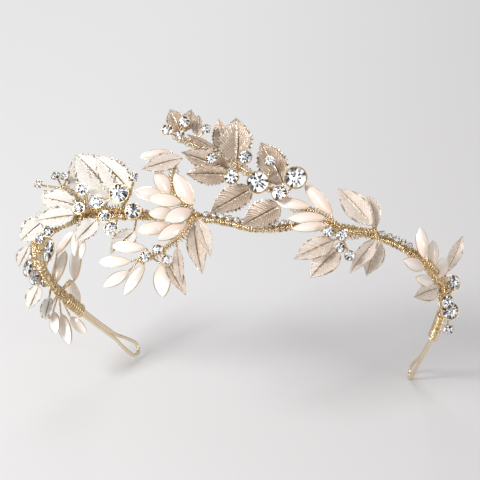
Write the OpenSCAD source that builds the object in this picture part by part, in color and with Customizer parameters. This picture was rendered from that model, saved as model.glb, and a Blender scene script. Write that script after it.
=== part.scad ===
// Bridal tiara: a flat-fronted horseshoe band of two wound wires, sprung open by
// two bare hairpins, with seven wired sprays of leaves, petals and set stones.
// Places on the band are [along, up, out]: millimetres along the wire from the
// middle of the front (negative to the left), up from the plane of the band, and
// out from the wire, away from the head.

/* [Band] */
// Length of the nearly straight front, each side of its middle
front_run = 40; // [34:1:48]
// Length of the temple bend, each side
temple_run = 40; // [34:1:48]
// Length of the side run behind the temple
side_run = 44; // [37:1:52]
// Length of the back run, which ends in the hairpin's loop
back_run = 54; // [50:1:64]
// Turn of the left front, temple, side and back runs, in degrees
left_turns = [6, 61, 42, 15]; // [0:1:90]
// Turn of the right front, temple, side and back runs, in degrees
right_turns = [3, 65, 33, 10]; // [0:1:90]
// Depth of the dip in the front of the band, under the tall spray
band_dip = 2.5; // [0:0.5:4]
// Distance from the middle of the head opening forward to the band
front_reach = 62; // [52:1:74]
// Tilt of the band's plane when it stands as worn, front up
band_tilt = 50; // [0:1:60]
// Diameter of each of the two band wires
band_wire_d = 1.2; // [1:0.04:1.44]
// Distance between the middles of the two wires
wire_pitch = 1.7; // [1.6:0.05:2]
// Wall of the fine wire wound round the band wires
winding_wall = 0.4; // [0.3:0.05:0.5]
// Clearance between the band wires and what is wound round them
winding_clear = 0.05; // [0.03:0.01:0.1]

/* [Hairpins] */
// Length of each bare hairpin, from its binding to the tip of its loop
pin_reach = 38; // [32:1:46]
// Diameter of the hairpin wire
pin_wire_d = 1.2; // [1:0.04:1.44]
// Width of the loop, between the middles of its wires
loop_w = 5.5; // [4.6:0.1:6.6]
// Length of the loop
loop_len = 15; // [12.5:0.5:18]
// Length of hairpin held inside the mouth of its binding
pin_seat = 1.2; // [1:0.1:1.4]
// Room round the hairpin in its binding, in which it springs open and closed
spring_room = 0.4; // [0.35:0.05:0.5]
// Length of the binding at the left hairpin
left_binding_len = 11; // [9:1:14]
// Length of the binding at the right hairpin
right_binding_len = 20; // [16:1:24]
// Wall of the bindings
binding_wall = 0.5; // [0.4:0.05:0.6]

/* [Leaves and petals] */
// Thickness of a stamped leaf
leaf_t = 0.4; // [0.35:0.05:0.5]
// Depth of the fold along a leaf's midrib, as a share of its width
leaf_fold = 0.1; // [0:0.01:0.14]
// Height of a petal's crowned face above its rim
petal_crown = 0.6; // [0.5:0.05:0.75]
// Depth of a petal's body below its rim
petal_depth = 0.3; // [0.25:0.05:0.4]
// Thickness of the gold back behind a petal
back_t = 0.3; // [0.25:0.05:0.4]
// Gap between a petal and its gold back
back_gap = 0.05; // [0.03:0.01:0.1]

/* [Stones] */
// Wall of a stone's cup
cup_wall = 0.35; // [0.3:0.05:0.5]
// Diameter of a claw
claw_d = 0.5; // [0.4:0.05:0.6]
// Gap between a stone and its cup
stone_gap = 0.05; // [0.03:0.01:0.08]
// Diameter of the small stones chained along the band
chain_stone_d = 1.9; // [1.5:0.1:2.3]
// Distance from the edge of one chained stone to the next
chain_gap = 0.9; // [0.8:0.1:1.4]

/* [Wires] */
// Diameter of the main stem of a spray
stem_d = 1; // [0.8:0.05:1.2]
// Diameter of the twig that carries one leaf, petal or stone
twig_d = 0.6; // [0.5:0.05:0.7]

/* [Hidden] */

$fn = 32;
gold = "goldenrod";
champagne = "tan";
ivory = "antiquewhite";
blush = "mistyrose";
crystal = "lightsteelblue";

wire_sides = 8;
twig_sides = 6;
ring_step = 4;              // distance between rings along the band
runs = [front_run, temple_run, side_run, back_run];
half_band = front_run + temple_run + side_run + back_run;
band_end = half_band - pin_reach;      // where the bare hairpins begin
mouth = 1;                  // reach of a binding's mouth past the spring point
wires_end = band_end - pin_seat - 3;   // where the band wires stop inside the bindings
winding_half_w = band_wire_d / 2 + winding_clear;
winding_out = winding_half_w + winding_wall;
front_face = [0, -0.91, 0.41];         // the way the front of the tiara faces
out_share = 0.4;                       // how far a piece turns outward from that
oval_room = 1.15;                      // widens an oval so that two round wires fit in it

// ---- the path of the band ----

// Walks a length with a turn from a place [x, y, heading]
function walk(p, l, t) = abs(t) < 0.01
    ? [p.x + l * cos(p.z), p.y + l * sin(p.z), p.z]
    : let (r = l / (t * PI / 180))
      [p.x + r * (sin(p.z + t) - sin(p.z)), p.y + r * (cos(p.z) - cos(p.z + t)), p.z + t];
// Place and heading a distance along one half of the band
function half_path(a, turns, i = 0, p = [0, -front_reach, 0]) =
    a <= runs[i] || i == len(runs) - 1 ? walk(p, a, turns[i] * a / runs[i])
    : half_path(a - runs[i], turns, i + 1, walk(p, runs[i], turns[i]));
// Puts a point of the band's plane and a height above it into the tiara's frame
function tilted(x, y, up) = [x, y * cos(band_tilt) + up * sin(band_tilt),
    up * cos(band_tilt) - y * sin(band_tilt)];
function side_of(u) = u < 0 ? -1 : 1;
function path_at(u) = half_path(abs(u), u < 0 ? left_turns : right_turns);
// Point at [along, up, out]
function at(q) = let (s = side_of(q[0]), p = path_at(q[0]))
    tilted(s * (p.x + sin(p.z) * q[2]), p.y - cos(p.z) * q[2], q[1]);
// Way out from the band, and the way a piece there faces: mostly to the front, partly outward
function out_at(u) = at([u, 0, 1]) - at([u, 0, 0]);
up_dir = tilted(0, 0, 1);
// Point on the wires themselves, which dip under the tall spray
dip_at = 13;
dip_reach = 18;
function dip_up(u) = abs(u - dip_at) < dip_reach ? -band_dip * pow(cos(90 * (u - dip_at) / dip_reach), 2) : 0;
function wire_at(q) = at([q[0], q[1] + dip_up(q[0]), q[2]]);
function along_at(u) = cross(up_dir, -out_at(u));
function unit(v) = v / norm(v);
function face_at(u) = unit(out_at(u) * out_share + front_face);

// ---- solids skinned over rings of points ----

// Skins a solid over rings with the same number of points; caps fan out from one point
module skin(rings, fan = 0) {
    n = len(rings[0]);
    last = (len(rings) - 1) * n;
    sides = [for (i = [0:len(rings) - 2], j = [0:n - 1]) let (a = i * n, k = (j + 1) % n)
        each [[a + j, a + n + j, a + n + k], [a + j, a + n + k, a + k]]];
    first_cap = [for (j = [1:n - 2]) [fan, (fan + j) % n, (fan + j + 1) % n]];
    last_cap = [for (j = [1:n - 2]) [last + fan, last + (fan + j + 1) % n, last + (fan + j) % n]];
    polyhedron(points = [for (r = rings) each r], faces = concat(sides, first_cap, last_cap));
}
// Ring of points round a centre, in the plane of two directions
function ring(c, v, w, half_v, half_w, n) =
    [for (j = [0:n - 1]) c + v * half_v * cos(360 * j / n) + w * half_w * sin(360 * j / n)];
// Heading of a route at one of its points
function heading(route, i) = unit(route[min(i + 1, len(route) - 1)] - route[max(i - 1, 0)]);
// A round wire along a route
module wire(route, d, n = wire_sides, level = up_dir) {
    skin([for (i = [0:len(route) - 1]) let (h = heading(route, i), v = unit(cross(h, level)), w = cross(h, v))
        ring(route[i], v, w, d / 2, d / 2, n)]);
}
// Distances along the band from one place to another, at whole ring steps between
function stations(from, to) = concat([from],
    [for (k = [ceil(from / ring_step + 0.2):floor(to / ring_step - 0.2)]) k * ring_step], [to]);
// An oval sleeve round both wires, hollow inside
module sleeve(from, to, half_out, half_up, wall) {
    n = 12;
    rings = [for (u = stations(from, to)) [for (k = [1, 0]) ring(wire_at([u, 0, 0]), up_dir, out_at(u),
        half_up + k * wall, half_out + k * wall, n)]];
    m = len(rings);
    points = [for (r = rings) each concat(r[0], r[1])];
    faces = [for (i = [0:m - 2], j = [0:n - 1]) let (a = i * 2 * n, b = a + 2 * n, k = (j + 1) % n)
        each [[a + j, b + j, b + k], [a + j, b + k, a + k],
            [a + n + j, b + n + k, b + n + j], [a + n + j, a + n + k, b + n + k]]];
    e = (m - 1) * 2 * n;
    ends = [for (j = [0:n - 1]) let (k = (j + 1) % n) each [
        [j, n + k, n + j], [j, k, n + k],
        [e + j, e + n + j, e + n + k], [e + j, e + n + k, e + k]]];
    polyhedron(points = points, faces = concat(faces, ends));
}

// ---- band and hairpins ----

module band_wires() color(gold) for (side = [-1, 1])
    wire([for (u = stations(-wires_end, wires_end)) wire_at([u, side * wire_pitch / 2, 0])], band_wire_d);

module band_winding() color(gold)
    sleeve(-(band_end - left_binding_len), band_end - right_binding_len,
        winding_half_w * oval_room, wire_pitch / 2 + winding_half_w * oval_room, winding_wall);

// A binding, wide enough for the band wires and for the hairpin to spring in
binding_half_w = (max(pin_wire_d, band_wire_d) / 2 + spring_room) * oval_room;
module end_binding(from, to) color(gold) sleeve(from, to, binding_half_w, wire_pitch / 2 + binding_half_w, binding_wall);
module left_end_binding() end_binding(-(band_end + mouth), -(band_end - left_binding_len + winding_clear));
module right_end_binding() end_binding(band_end - right_binding_len + winding_clear, band_end + mouth);

// Half of a hairpin's outline, [distance along, height], from its seat to the tip of its loop
function pin_outline() = let (r = loop_w / 2, neck = half_band - loop_len, c = half_band - r - pin_wire_d / 2)
    concat([for (i = [0:4]) [band_end - pin_seat + (neck - band_end + pin_seat) * i / 4, wire_pitch / 2]],
        [[neck + (c - neck) * 0.35, wire_pitch / 2 + (r - wire_pitch / 2) * 0.45],
        [neck + (c - neck) * 0.7, wire_pitch / 2 + (r - wire_pitch / 2) * 0.85]],
        [for (a = [90:-22.5:0]) [c + r * cos(a), r * sin(a)]]);
module hairpin(side) {
    half = pin_outline();
    n = len(half);
    loop = concat(half, [for (i = [n - 2:-1:0]) [half[i][0], -half[i][1]]]);
    color(champagne) wire([for (p = loop) at([side * p[0], p[1], 0])], pin_wire_d, wire_sides, out_at(side * band_end));
}
module left_hairpin() hairpin(-1);
module right_hairpin() hairpin(1);

// ---- leaves, petals and stones ----

// Frame of a blade from its base to its tip: [base, length, along, across, face]
function blade_frame(base, tip, roll) = let (b = at(base), t = at(tip), a = unit(t - b),
    f = face_at(base[0]), n = unit(f - (f * a) * a), s = cross(a, n))
    [b, norm(t - b), a, s * cos(roll) - n * sin(roll), n * cos(roll) + s * sin(roll)];
blade_rings = 6;
end_half_w = 0.3;           // half width of a blade where it joins its twig

// A stamped leaf: [base, tip, width, roll, bow]
module leaf(l) {
    f = blade_frame(l[0], l[1], l[3]);
    skin([for (i = [0:blade_rings]) let (t = i / blade_rings, half = max(end_half_w * (1 - t * 0.6),
        l[2] / 2 * pow(sin(180 * pow(t, 0.85)), 0.8)), c = f[0] + f[2] * f[1] * t + f[4] * l[4] * sin(180 * t),
        dip = f[4] * half * 2 * leaf_fold, thin = f[4] * leaf_t)
        [c - f[3] * half, c - dip, c + f[3] * half, c + f[3] * half - thin, c - dip - thin, c - f[3] * half - thin]],
        fan = 1);
}
// Cross-section of a petal or of its back, between two heights
module navette(l, half_share, top, bottom) {
    f = blade_frame(l[0], l[1], l[3]);
    skin([for (i = [0:blade_rings]) let (t = i / blade_rings, swell = pow(sin(180 * t), 0.75),
        half = max(end_half_w, l[2] / 2 * swell) * half_share,
        c = f[0] + f[2] * f[1] * t + f[4] * l[4] * sin(180 * t), high = f[4] * top * max(swell, 0.25), low = f[4] * bottom)
        [c - f[3] * half, c + high, c + f[3] * half, c + f[3] * half * 0.8 - low, c - f[3] * half * 0.8 - low]],
        fan = 1);
}
module petal(l) navette(l, 0.94, petal_crown, petal_depth);
module petal_back(l) {
    f = blade_frame(l[0], l[1], l[3]);
    drop = f[4] * (petal_depth + back_gap);
    translate(-drop) navette(l, 1, -back_t * 0.1, back_t);
}

// Turns +Z to a direction
module aim(v) rotate([0, acos(v.z), atan2(v.y, v.x)]) children();
// A stone's seat: its girdle at the place given, facing with a sideways and upward lean
module seat(s) {
    f = face_at(s[0][0]);
    a = along_at(s[0][0]);
    translate(at(s[0])) aim(unit(f + a * s[2] + up_dir * s[3])) children();
}
cone_share = 0.5;           // depth of a stone's back, as a share of its diameter
crown_share = 0.16;         // height of its crown
table_share = 0.56;         // width of its flat table
foot_share = 0.3;           // radius of its cup's foot
oval_sides = 16;            // sides of an oval stone
// A cut stone: a point behind, a girdle, and a crown with a flat table
function stone_outline(d) = [[0, -d * cone_share], [d / 2, 0], [d / 2, d * 0.04],
    [d * table_share / 2, d * (crown_share + 0.04)]];
module stone(d, stretch) {
    if (stretch == 1) rotate_extrude() polygon(concat(stone_outline(d), [[0, d * (crown_share + 0.04)]]));
    else skin([for (p = stone_outline(d)) let (r = max(p.x, 0.05))
        ring([0, 0, p.y], [1, 0, 0], [0, 1, 0], r * stretch, r, oval_sides)]);
}
// Its cup, open under the girdle, with four claws that rise past it
module cup(d, stretch) {
    r = d / 2 + stone_gap;
    scale([stretch, 1, 1]) rotate_extrude() polygon([[0, -d * cone_share - stone_gap * 2 - cup_wall],
        [d * foot_share, -d * cone_share - stone_gap * 2 - cup_wall], [r + cup_wall, -stone_gap],
        [r + 0.02, -stone_gap], [0, -d * cone_share - stone_gap * 2]]);
    for (a = [45:90:315]) translate([(r + claw_d / 2) * cos(a) * stretch, (r + claw_d / 2) * sin(a), -d * 0.25])
        cylinder(h = d * 0.39, d = claw_d, $fn = 16);
}
// How much longer than wide a stone is: a fifth value in its list, or round
function stretch_of(s) = len(s) > 4 ? s[4] : 1;
// Where a stone's cup meets its twig
function cup_foot(s) = let (d = s[1], v = unit(face_at(s[0][0]) + along_at(s[0][0]) * s[2] + up_dir * s[3]))
    at(s[0]) - v * (d * cone_share + stone_gap * 2 + cup_wall);

module leaves(list) color(gold) for (l = list) leaf(l);
module petals(list, tint) color(tint) for (l = list) petal(l);
module petal_backs(list) color(gold) for (l = list) petal_back(l);
module settings(list) color(gold) for (s = list) seat(s) cup(s[1], stretch_of(s));
module stones(list) color(crystal) for (s = list) seat(s) stone(s[1], stretch_of(s));

// Index of the point of a route that is nearest to a point
function nearest(route, p, i = 0, best = 0) = i >= len(route) ? best
    : nearest(route, p, i + 1, norm(route[i] - p) < norm(route[best] - p) ? i : best);
// A spray's stem, and a twig from it to the foot of each piece
module stem(route, blades, seats) color(gold) {
    path = [for (q = route) at(q)];
    wire(path, stem_d);
    feet = concat([for (l = blades) at(l[0])], [for (s = seats) cup_foot(s)]);
    for (p = feet) let (hub = path[nearest(path, p)]) if (norm(hub - p) > stem_d)
        wire([hub, p], twig_d, twig_sides, unit(up_dir + [0.3, 0.2, 0.1]));
}

// ---- stones chained along the band ----

chain_pitch = chain_stone_d + chain_gap;
chain_runs = [[-6, 8], [11, 27], [56.5, band_end - 71]];
chain_out = winding_out * oval_room + chain_stone_d * 0.5 + cup_wall + 0.4;
chain_seats = [for (r = chain_runs, u = [r[0]:chain_pitch:r[1]])
    [[u, dip_up(u), chain_out], chain_stone_d, 0, 0]];
module chain_settings() settings(chain_seats);
module chain_stones() stones(chain_seats);

// ---- sprays ----
// A leaf or petal is [base, tip, width, roll, bow]; a stone is [place, diameter, lean along,
// lean up], with its length over its width as a fifth value when it is oval.

// Left side: a thicket of white leaves, ivory petals and long crystals before the left hairpin
left_end = -band_end;
side_lift = binding_half_w + binding_wall + stem_d / 2 + 0.05;   // holds the stem clear of the binding
left_side_route = concat([[left_end + 14, 1, side_lift]],
    [for (u = [20, 28, 36, 46, 56]) [left_end + u, 2, side_lift]], [[left_end + 68, 1, side_lift + 0.3]]);
left_side_leaf_list = [
    [[left_end + 68, 3, 4], [left_end + 61, -4, 9], 8, 0, 1],
    [[left_end + 54, -1, 5], [left_end + 53, -10, 7], 5, 0, 1],
    [[left_end + 29, -4, 3], [left_end + 27, -13, 6], 6.5, 0, 1],
    [[left_end + 20, -4, 2], [left_end + 19, -13, 3], 5, 0, 0.5],
    [[left_end + 60, 3, 2], [left_end + 58, 12, 4], 5, 0, 1]];
left_side_petal_list = [
    [[left_end + 21, 14.5, 1.6], [left_end + 16.5, 25, 0.4], 4, 0, 0.5],
    [[left_end + 18, 3, 2], [left_end + 18, 14, 0.5], 4.4, 0, 0.5],
    [[left_end + 8, 9.5, 0], [left_end + 10, 20.5, 0], 4.4, 0, 0.6],
    [[left_end + 8, 10, 2.4], [left_end + 1, 4.6, 2.6], 4.4, 0, 0.6],
    [[left_end + 14, -7, 3], [left_end + 13, -14, 1], 4, 0, 0.4],
    [[left_end + 10, -6, 2], [left_end + 7, -15, -1], 4.5, 0, 0.4],
    [[left_end + 5, -5, 1], [left_end + 1, -9, -3], 3.5, 0, 0.4]];
left_side_stone_list = [
    [[left_end + 74, -4, 4], 3, 0, 0], [[left_end + 69, -5, 4], 3, 0, 0],
    [[left_end + 30, 8.4, 6], 3.6, 0, 0, 2], [[left_end + 29, 11.2, 1.6], 3.6, 0, 0, 1.8],
    [[left_end + 35, 0, 6], 3, 0, 0, 1.5], [[left_end + 30, -1, 4.6], 3.2, 0, 0, 1.3],
    [[left_end + 21, 3.3, 4.6], 3.2, 0, 0, 1.3], [[left_end + 16, -9, 5], 3, 0, -1]];
module left_side_stem() stem(left_side_route, concat(left_side_leaf_list, left_side_petal_list), left_side_stone_list);
module left_side_leaves() leaves(left_side_leaf_list);
module left_side_petals() petals(left_side_petal_list, ivory);
module left_side_petal_backs() petal_backs(left_side_petal_list);
module left_side_settings() settings(left_side_stone_list);
module left_side_stones() stones(left_side_stone_list);

// Left temple: the big white leaves and the cluster of large stones
left_temple_route = [[-26, -1, 3], [-31, 0, 3], [-37, 1, 3], [-44, 1, 3], [-51, 2, 3], [-57, 8, 3],
    [-63, 13, 3.5]];
left_temple_leaf_list = [
    [[-41.5, 5.5, 4], [-59, 26.5, 4], 11.5, 0, 1.5],
    [[-52, 5, 1.5], [-63, 28, 1.2], 8, 0, 0.8],
    [[-34, 6, 5], [-48, 21, 7], 10, 0, 1],
    [[-54, 3, 4], [-68, 9, 9], 8, 0, 1],
    [[-53, -2, 6], [-68, -1, 9], 7, 0, 1],
    [[-45, -4, 4], [-51, -13, 5], 6.5, 0, 1],
    [[-31, -8, 3], [-38, -18, 4], 7, 0, 0.6]];
left_temple_petal_list = [
    [[-49.5, -11, 2], [-49.5, -18.5, 2], 2.6, 0, 0.4],
    [[-54, -6, 2], [-52.4, -17, 2], 3.2, 0, 0.5]];
left_temple_stone_list = [
    [[-71, 16, 9], 2.7, 0, 0], [[-69, 12, 6], 2.7, 0, 0], [[-65, 18, 6], 3, 0, 0.3], [[-60, 16, 6], 3, 0, 0.3],
    [[-50, 7, 8], 3.8, 0, 0], [[-50, -1, 8], 3.8, 0, 0], [[-37, 4, 9], 6.5, 0, 0], [[-33, 11, 8.6], 3.2, 0, 0],
    [[-31, -3, 8.5], 5.4, 0, 0], [[-44, 1, 8], 4, 0, 0], [[-41, -5, 8], 4, 0, 0], [[-38, -10, 8], 4.6, 0, 0]];
module left_temple_stem() stem(left_temple_route, concat(left_temple_leaf_list, left_temple_petal_list),
    left_temple_stone_list);
module left_temple_leaves() leaves(left_temple_leaf_list);
module left_temple_petals() petals(left_temple_petal_list, ivory);
module left_temple_petal_backs() petal_backs(left_temple_petal_list);
module left_temple_settings() settings(left_temple_stone_list);
module left_temple_stones() stones(left_temple_stone_list);

// Blush flower: layered petals at the left of the front, over two hanging leaves
blush_flower_route = [[-10, 0, 3], [-14, 3, 3], [-18, 7, 3], [-20, 13, 3], [-20, 19, 3]];
blush_flower_leaf_list = [
    [[-17.5, 21.5, 5], [-31, 15.5, 6.5], 7, 0, 1],
    [[-10, -4, 2], [-4, -24, 3], 7.5, 0, 1],
    [[-8, -3, 5], [-1, -19, 7], 5, -20, 1]];
blush_flower_petal_list = [
    [[-22, 24.5, 4], [-33, 21.5, 5], 3.6, 0, 0.5],
    [[-20, 7.5, 3], [-27, 16.5, 3], 5.6, 0, 0.8],
    [[-11, 3, 4], [-19, 14, 6], 6, 0, 1],
    [[-22, 6, 4], [-32.5, 7, 5], 5, 0, 0.8],
    [[-15, 3, 5.3], [-26, 3, 7.3], 5, 0, 0.8],
    [[-17, -1, 3.8], [-26, -2, 5.5], 5, 0, 0.8],
    [[-11, 0, 5], [-19, -6, 8], 6, 0, 1],
    [[-18, -6, 4], [-29, -9, 5], 5, 0, 0.8],
    [[-12, -5, 4.3], [-21, -13, 6.3], 5.2, 0, 0.8]];
module blush_flower_stem() stem(blush_flower_route, concat(blush_flower_leaf_list, blush_flower_petal_list), []);
module blush_flower_leaves() leaves(blush_flower_leaf_list);
module blush_flower_petals() petals(blush_flower_petal_list, blush);
module blush_flower_petal_backs() petal_backs(blush_flower_petal_list);

// Drop spray: ivory petals and three stones that hang below the flower
drop_spray_route = [[-10, -2, 4], [-12, -8, 4], [-15, -12, 4], [-19, -16, 4], [-23, -19, 4], [-27, -20, 4]];
drop_spray_leaf_list = [
    [[-14, -15, 5], [-10, -30, 6], 4, 0, 0.8],
    [[-17, -20, 4], [-8, -34, 5], 5.5, -15, 1]];
drop_spray_petal_list = [
    [[-25, -16, 5], [-37, -16, 6], 4, 0, 0.5],
    [[-30, -21, 4], [-41, -22, 5], 4, 0, 0.5],
    [[-30, -25, 4], [-38, -32, 5], 4.5, 0, 0.5],
    [[-25, -22, 4], [-30, -35, 5], 4.5, 0, 0.5],
    [[-19, -21, 3], [-16, -35, 5], 6.5, 0, 0.8]];
drop_spray_stone_list = [
    [[-20, -18, 8], 3.4, 0, 0], [[-24, -21, 8], 3.4, 0, 0], [[-16, -22, 8], 3.4, 0, 0]];
module drop_spray_stem() stem(drop_spray_route, concat(drop_spray_leaf_list, drop_spray_petal_list),
    drop_spray_stone_list);
module drop_spray_leaves() leaves(drop_spray_leaf_list);
module drop_spray_petals() petals(drop_spray_petal_list, ivory);
module drop_spray_petal_backs() petal_backs(drop_spray_petal_list);
module drop_spray_settings() settings(drop_spray_stone_list);
module drop_spray_stones() stones(drop_spray_stone_list);

// Tall spray: serrated leaves and the largest stones, rising from right to left over the front
tall_spray_route = [[42, -1, 3], [33, 4, 3], [26, 5, 3], [21, 9, 3], [14, 13, 3], [4, 20, 3], [-6, 25, 3],
    [-16, 29, 3], [-22, 32, 3]];
tall_spray_leaf_list = [
    [[-20, 33, 4], [-25, 42, 5], 6, 0, 0.8],
    [[-18, 35, 2.5], [-18, 44, 2], 5, 0, 0.6],
    [[-14, 32, 4], [-14, 40, 5], 3.6, -10, 0.5],
    [[-5, 25, 5], [-17, 31, 6], 2.6, 0, 0.6],
    [[-3, 24, 3], [-7, 40, 3], 5.5, 0, 1],
    [[2, 21, 5], [0, 39, 6], 11, 0, 1.5],
    [[20, 14, 4], [10, 30, 5], 9.5, 0, 1.5],
    [[0, 19, 4], [-18, 24, 5], 8, 15, 1],
    [[0, 16, 4], [-15, 15, 5], 7, -10, 1],
    [[9, 11, 4], [-4, 0, 5], 8.5, 0, 1],
    [[20, 5, 4], [8, -5, 5.5], 9, 0, 1]];
tall_spray_stone_list = [
    [[-24, 32, 7], 3.8, 0, 0], [[-18, 35, 8], 3.8, 0, 0], [[-19, 30, 7], 3, 0, 0], [[-10, 33, 7], 3, 0, 0],
    [[-6, 20, 8], 4, 0, 0], [[2, 13, 8], 5, 0, 0], [[6, 21, 9], 4.6, 0, 0], [[12, 11, 9], 7.4, 0, 0],
    [[15, 20, 9], 3.8, 0, 0], [[25, 14, 9], 7.4, 0, 0], [[20, 7, 9], 5, 0, 0]];
module tall_spray_stem() stem(tall_spray_route, tall_spray_leaf_list, tall_spray_stone_list);
module tall_spray_leaves() leaves(tall_spray_leaf_list);
module tall_spray_settings() settings(tall_spray_stone_list);
module tall_spray_stones() stones(tall_spray_stone_list);

// Right spray: blush petals, four stones, and broad leaves above and below the band
right_spray_route = [[54, 0, 3], [48, -3, 3.5], [43, -5, 3.5], [39, -2, 3]];
right_spray_leaf_list = [
    [[41, -7, 4], [28, -17, 6], 8, 0, 1],
    [[43, -9, 2], [34, -22, 2], 9, 0, 1],
    [[54, -4, 5], [47, -20, 5.5], 6, 0, 1],
    [[56, -3, 2.5], [53, -18, 2.5], 8, 0, 1],
    [[52, 1, 5], [40, 13, 6], 9, 0, 1],
    [[54, 2, 3], [50, 14, 3], 6, 0, 1]];
right_spray_petal_list = [
    [[39, 3, 4], [28, 14, 5], 5, 0, 0.8],
    [[31, 5, 4.9], [19, 6, 4.9], 4, 0, 0.1],
    [[37, 1, 5], [24, -1, 6], 4.5, 0, 0.6],
    [[38, -2, 5], [26, -5, 6], 3.8, 0, 0.6]];
right_spray_stone_list = [
    [[39, -6, 8], 3.8, 0, 0], [[43, -7, 8], 3.8, 0, 0], [[43, -12, 8], 3.4, 0, 0], [[46, -15, 9], 3.4, 0, 0]];
module right_spray_stem() stem(right_spray_route, concat(right_spray_leaf_list, right_spray_petal_list),
    right_spray_stone_list);
module right_spray_leaves() leaves(right_spray_leaf_list);
module right_spray_petals() petals(right_spray_petal_list, blush);
module right_spray_petal_backs() petal_backs(right_spray_petal_list);
module right_spray_settings() settings(right_spray_stone_list);
module right_spray_stones() stones(right_spray_stone_list);

// Right side: a small spray before the right hairpin
right_end = band_end;
right_side_route = [[right_end - 24, -4, 3], [right_end - 36, -3, 3], [right_end - 46, -1, 3], [right_end - 56, -2, 3],
    [right_end - 64, -2, 3]];
right_side_leaf_list = [
    [[right_end - 51, -6, 3], [right_end - 60, -14, -2], 7, 0, 0.8],
    [[right_end - 48, 2, 4], [right_end - 48, 17, 9], 5, 0, 0.8]];
right_side_petal_list = [
    [[right_end - 66, -2, 4], [right_end - 70, 6, 5], 4, 0, 0.6],
    [[right_end - 60, -2, 4], [right_end - 63, 5, 5], 3.6, 0, 0.6],
    [[right_end - 65, -6, 4], [right_end - 74, -8, 5], 4, 0, 0.6],
    [[right_end - 58, -8, 4], [right_end - 68, -12, 5], 3.6, 0, 0.6],
    [[right_end - 55, -4, 4], [right_end - 53, 4, 5], 4.2, 0, 0.6]];
right_side_stone_list = [
    [[right_end - 42, 1, 5], 4.6, 0, 0], [[right_end - 46, -9, 5], 3.8, 0, 0], [[right_end - 41, -10, 5], 5, 0, 0],
    [[right_end - 36, -15, 4], 3, 0, -1]];
module right_side_stem() stem(right_side_route, concat(right_side_leaf_list, right_side_petal_list),
    right_side_stone_list);
module right_side_leaves() leaves(right_side_leaf_list);
module right_side_petals() petals(right_side_petal_list, blush);
module right_side_petal_backs() petal_backs(right_side_petal_list);
module right_side_settings() settings(right_side_stone_list);
module right_side_stones() stones(right_side_stone_list);

band_wires();
band_winding();
left_hairpin();
right_hairpin();
left_end_binding();
right_end_binding();
chain_settings();
chain_stones();
left_side_stem();
left_side_leaves();
left_side_petals();
left_side_petal_backs();
left_side_settings();
left_side_stones();
left_temple_stem();
left_temple_leaves();
left_temple_petals();
left_temple_petal_backs();
left_temple_settings();
left_temple_stones();
blush_flower_stem();
blush_flower_leaves();
blush_flower_petals();
blush_flower_petal_backs();
drop_spray_stem();
drop_spray_leaves();
drop_spray_petals();
drop_spray_petal_backs();
drop_spray_settings();
drop_spray_stones();
tall_spray_stem();
tall_spray_leaves();
tall_spray_settings();
tall_spray_stones();
right_spray_stem();
right_spray_leaves();
right_spray_petals();
right_spray_petal_backs();
right_spray_settings();
right_spray_stones();
right_side_stem();
right_side_leaves();
right_side_petals();
right_side_petal_backs();
right_side_settings();
right_side_stones();
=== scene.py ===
import bmesh
import bpy
import itertools
import math
import random
import numpy as np
from mathutils import Matrix, Vector


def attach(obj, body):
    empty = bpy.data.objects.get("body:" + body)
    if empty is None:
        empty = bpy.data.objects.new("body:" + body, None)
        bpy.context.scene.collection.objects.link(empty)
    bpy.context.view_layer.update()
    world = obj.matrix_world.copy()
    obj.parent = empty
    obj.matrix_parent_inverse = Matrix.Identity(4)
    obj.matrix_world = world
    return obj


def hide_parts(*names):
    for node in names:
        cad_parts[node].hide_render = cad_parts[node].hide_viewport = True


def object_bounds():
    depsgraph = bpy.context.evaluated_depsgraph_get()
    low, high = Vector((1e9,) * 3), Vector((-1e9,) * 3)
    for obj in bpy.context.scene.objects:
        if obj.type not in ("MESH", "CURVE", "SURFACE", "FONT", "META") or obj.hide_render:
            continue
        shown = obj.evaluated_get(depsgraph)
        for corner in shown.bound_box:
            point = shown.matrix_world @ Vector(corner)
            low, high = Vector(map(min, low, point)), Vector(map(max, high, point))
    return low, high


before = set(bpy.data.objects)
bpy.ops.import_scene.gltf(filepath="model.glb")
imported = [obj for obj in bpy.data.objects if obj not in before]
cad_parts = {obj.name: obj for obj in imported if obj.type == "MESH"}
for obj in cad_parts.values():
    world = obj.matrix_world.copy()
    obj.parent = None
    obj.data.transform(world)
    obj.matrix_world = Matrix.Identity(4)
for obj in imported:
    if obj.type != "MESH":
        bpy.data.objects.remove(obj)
restLow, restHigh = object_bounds()
mm = 0.001
print("frame loaded")


# ---- camera ----

cameraSet = {"azimuth": 10, "elevation": 23, "distance": 1.0, "lens": 197.9,
             "aimRight": -1.05, "aimUp": 22.1, "near": 0.05, "far": 20}


def setCamera(s):
    a, e = math.radians(s["azimuth"]), math.radians(s["elevation"])
    back = Vector((math.sin(a) * math.cos(e), -math.cos(a) * math.cos(e), math.sin(e)))
    right = Vector((math.cos(a), math.sin(a), 0))
    target = right * s["aimRight"] * mm + back.cross(right) * s["aimUp"] * mm
    data = bpy.data.cameras.new("camera")
    data.lens = s["lens"]
    data.clip_start, data.clip_end = s["near"], s["far"]
    camera = bpy.data.objects.new("camera", data)
    bpy.context.scene.collection.objects.link(camera)
    camera.location = back * s["distance"]
    camera.rotation_euler = (target - camera.location).to_track_quat("-Z", "Y").to_euler()
    bpy.context.scene.camera = camera
    bpy.context.scene.view_settings.view_transform = "Standard"


setCamera(cameraSet)
print("camera set")


# ---- helpers for objects ----

def pickOnly(obj):
    bpy.ops.object.select_all(action="DESELECT")
    obj.select_set(True)
    bpy.context.view_layer.objects.active = obj


def openEdit(obj, mode="VERT"):
    pickOnly(obj)
    bpy.ops.object.mode_set(mode="EDIT")
    bpy.ops.mesh.select_mode(type=mode)
    bpy.ops.mesh.select_all(action="DESELECT")


def closeEdit():
    bpy.ops.object.mode_set(mode="OBJECT")


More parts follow.
